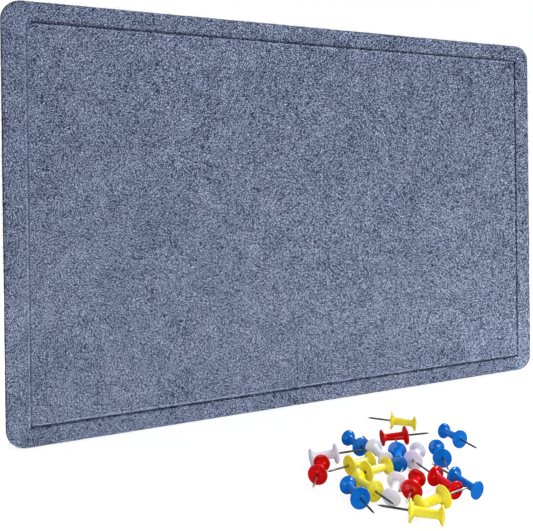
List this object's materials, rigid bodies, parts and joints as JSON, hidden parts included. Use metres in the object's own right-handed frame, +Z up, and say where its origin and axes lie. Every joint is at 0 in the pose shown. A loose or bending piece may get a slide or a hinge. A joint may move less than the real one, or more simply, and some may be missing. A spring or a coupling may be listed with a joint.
{
  "type": "felt bulletin board",
  "caption": "Thick felt bulletin board with rounded corners and a grooved border, adhesive foam pads on its back, and loose plastic push pins lying in front of it.",
  "frame": {"origin": "centre of the board's bottom face, on the surface that the board and the pins stand on", "axes": "+X along the board's long side, to the right of someone who faces it; +Y from the pinning face to the back; +Z up"},
  "size_m": [0.3, 0.1342, 0.2],
  "materials": {
    "felt": "needle-punched heather felt, blue-grey",
    "foam": "closed-cell adhesive foam",
    "liner": "silicone-coated paper, satin",
    "yellow_plastic": "glossy moulded",
    "red_plastic": "glossy moulded",
    "blue_plastic": "glossy moulded",
    "white_plastic": "glossy moulded, slightly translucent",
    "steel": "bright drawn wire"
  },
  "bodies": {
    "board": {"felt_panel": "felt", "mounting_pad_top_left": "foam", "mounting_pad_top_right": "foam", "mounting_pad_bottom_left": "foam", "mounting_pad_bottom_right": "foam"},
    "liner_top_left": {"release_liner_top_left": "liner"},
    "liner_top_right": {"release_liner_top_right": "liner"},
    "liner_bottom_left": {"release_liner_bottom_left": "liner"},
    "liner_bottom_right": {"release_liner_bottom_right": "liner"},
    "pin_01": {"pin_01_head": "yellow_plastic", "pin_01_needle": "steel"},
    "pin_02": {"pin_02_head": "red_plastic", "pin_02_needle": "steel"},
    "pin_03": {"pin_03_head": "blue_plastic", "pin_03_needle": "steel"},
    "pin_04": {"pin_04_head": "blue_plastic", "pin_04_needle": "steel"},
    "pin_05": {"pin_05_head": "blue_plastic", "pin_05_needle": "steel"},
    "pin_06": {"pin_06_head": "white_plastic", "pin_06_needle": "steel"},
    "pin_07": {"pin_07_head": "red_plastic", "pin_07_needle": "steel"},
    "pin_08": {"pin_08_head": "white_plastic", "pin_08_needle": "steel"},
    "pin_09": {"pin_09_head": "blue_plastic", "pin_09_needle": "steel"},
    "pin_10": {"pin_10_head": "white_plastic", "pin_10_needle": "steel"},
    "pin_11": {"pin_11_head": "yellow_plastic", "pin_11_needle": "steel"},
    "pin_12": {"pin_12_head": "yellow_plastic", "pin_12_needle": "steel"},
    "pin_13": {"pin_13_head": "blue_plastic", "pin_13_needle": "steel"},
    "pin_14": {"pin_14_head": "yellow_plastic", "pin_14_needle": "steel"},
    "pin_15": {"pin_15_head": "white_plastic", "pin_15_needle": "steel"},
    "pin_16": {"pin_16_head": "red_plastic", "pin_16_needle": "steel"},
    "pin_17": {"pin_17_head": "red_plastic", "pin_17_needle": "steel"},
    "pin_18": {"pin_18_head": "blue_plastic", "pin_18_needle": "steel"},
    "pin_19": {"pin_19_head": "yellow_plastic", "pin_19_needle": "steel"},
    "pin_20": {"pin_20_head": "yellow_plastic", "pin_20_needle": "steel"}
  },
  "joints": [
    {"name": "liner_top_left_pull_off", "type": "slide", "parent": "board", "child": "liner_top_left", "axis": [0, 1, 0], "range_m": [0, 0.03]},
    {"name": "liner_top_right_pull_off", "type": "slide", "parent": "board", "child": "liner_top_right", "axis": [0, 1, 0], "range_m": [0, 0.03]},
    {"name": "liner_bottom_left_pull_off", "type": "slide", "parent": "board", "child": "liner_bottom_left", "axis": [0, 1, 0], "range_m": [0, 0.03]},
    {"name": "liner_bottom_right_pull_off", "type": "slide", "parent": "board", "child": "liner_bottom_right", "axis": [0, 1, 0], "range_m": [0, 0.03]},
    {"name": "pin_01_lift", "type": "slide", "parent": "board", "child": "pin_01", "axis": [0, 0, 1], "range_m": [0, 0.06]},
    {"name": "pin_02_lift", "type": "slide", "parent": "board", "child": "pin_02", "axis": [0, 0, 1], "range_m": [0, 0.06]},
    {"name": "pin_03_lift", "type": "slide", "parent": "board", "child": "pin_03", "axis": [0, 0, 1], "range_m": [0, 0.06]},
    {"name": "pin_04_lift", "type": "slide", "parent": "board", "child": "pin_04", "axis": [0, 0, 1], "range_m": [0, 0.06]},
    {"name": "pin_05_lift", "type": "slide", "parent": "board", "child": "pin_05", "axis": [0, 0, 1], "range_m": [0, 0.06]},
    {"name": "pin_06_lift", "type": "slide", "parent": "board", "child": "pin_06", "axis": [0, 0, 1], "range_m": [0, 0.06]},
    {"name": "pin_07_lift", "type": "slide", "parent": "board", "child": "pin_07", "axis": [0, 0, 1], "range_m": [0, 0.06]},
    {"name": "pin_08_lift", "type": "slide", "parent": "board", "child": "pin_08", "axis": [0, 0, 1], "range_m": [0, 0.06]},
    {"name": "pin_09_lift", "type": "slide", "parent": "board", "child": "pin_09", "axis": [0, 0, 1], "range_m": [0, 0.06]},
    {"name": "pin_10_lift", "type": "slide", "parent": "board", "child": "pin_10", "axis": [0, 0, 1], "range_m": [0, 0.06]},
    {"name": "pin_11_lift", "type": "slide", "parent": "board", "child": "pin_11", "axis": [0, 0, 1], "range_m": [0, 0.06]},
    {"name": "pin_12_lift", "type": "slide", "parent": "board", "child": "pin_12", "axis": [0, 0, 1], "range_m": [0, 0.06]},
    {"name": "pin_13_lift", "type": "slide", "parent": "board", "child": "pin_13", "axis": [0, 0, 1], "range_m": [0, 0.06]},
    {"name": "pin_14_lift", "type": "slide", "parent": "board", "child": "pin_14", "axis": [0, 0, 1], "range_m": [0, 0.06]},
    {"name": "pin_15_lift", "type": "slide", "parent": "board", "child": "pin_15", "axis": [0, 0, 1], "range_m": [0, 0.06]},
    {"name": "pin_16_lift", "type": "slide", "parent": "board", "child": "pin_16", "axis": [0, 0, 1], "range_m": [0, 0.06]},
    {"name": "pin_17_lift", "type": "slide", "parent": "board", "child": "pin_17", "axis": [0, 0, 1], "range_m": [0, 0.06]},
    {"name": "pin_18_lift", "type": "slide", "parent": "board", "child": "pin_18", "axis": [0, 0, 1], "range_m": [0, 0.06]},
    {"name": "pin_19_lift", "type": "slide", "parent": "board", "child": "pin_19", "axis": [0, 0, 1], "range_m": [0, 0.06]},
    {"name": "pin_20_lift", "type": "slide", "parent": "board", "child": "pin_20", "axis": [0, 0, 1], "range_m": [0, 0.06]}
  ]
}
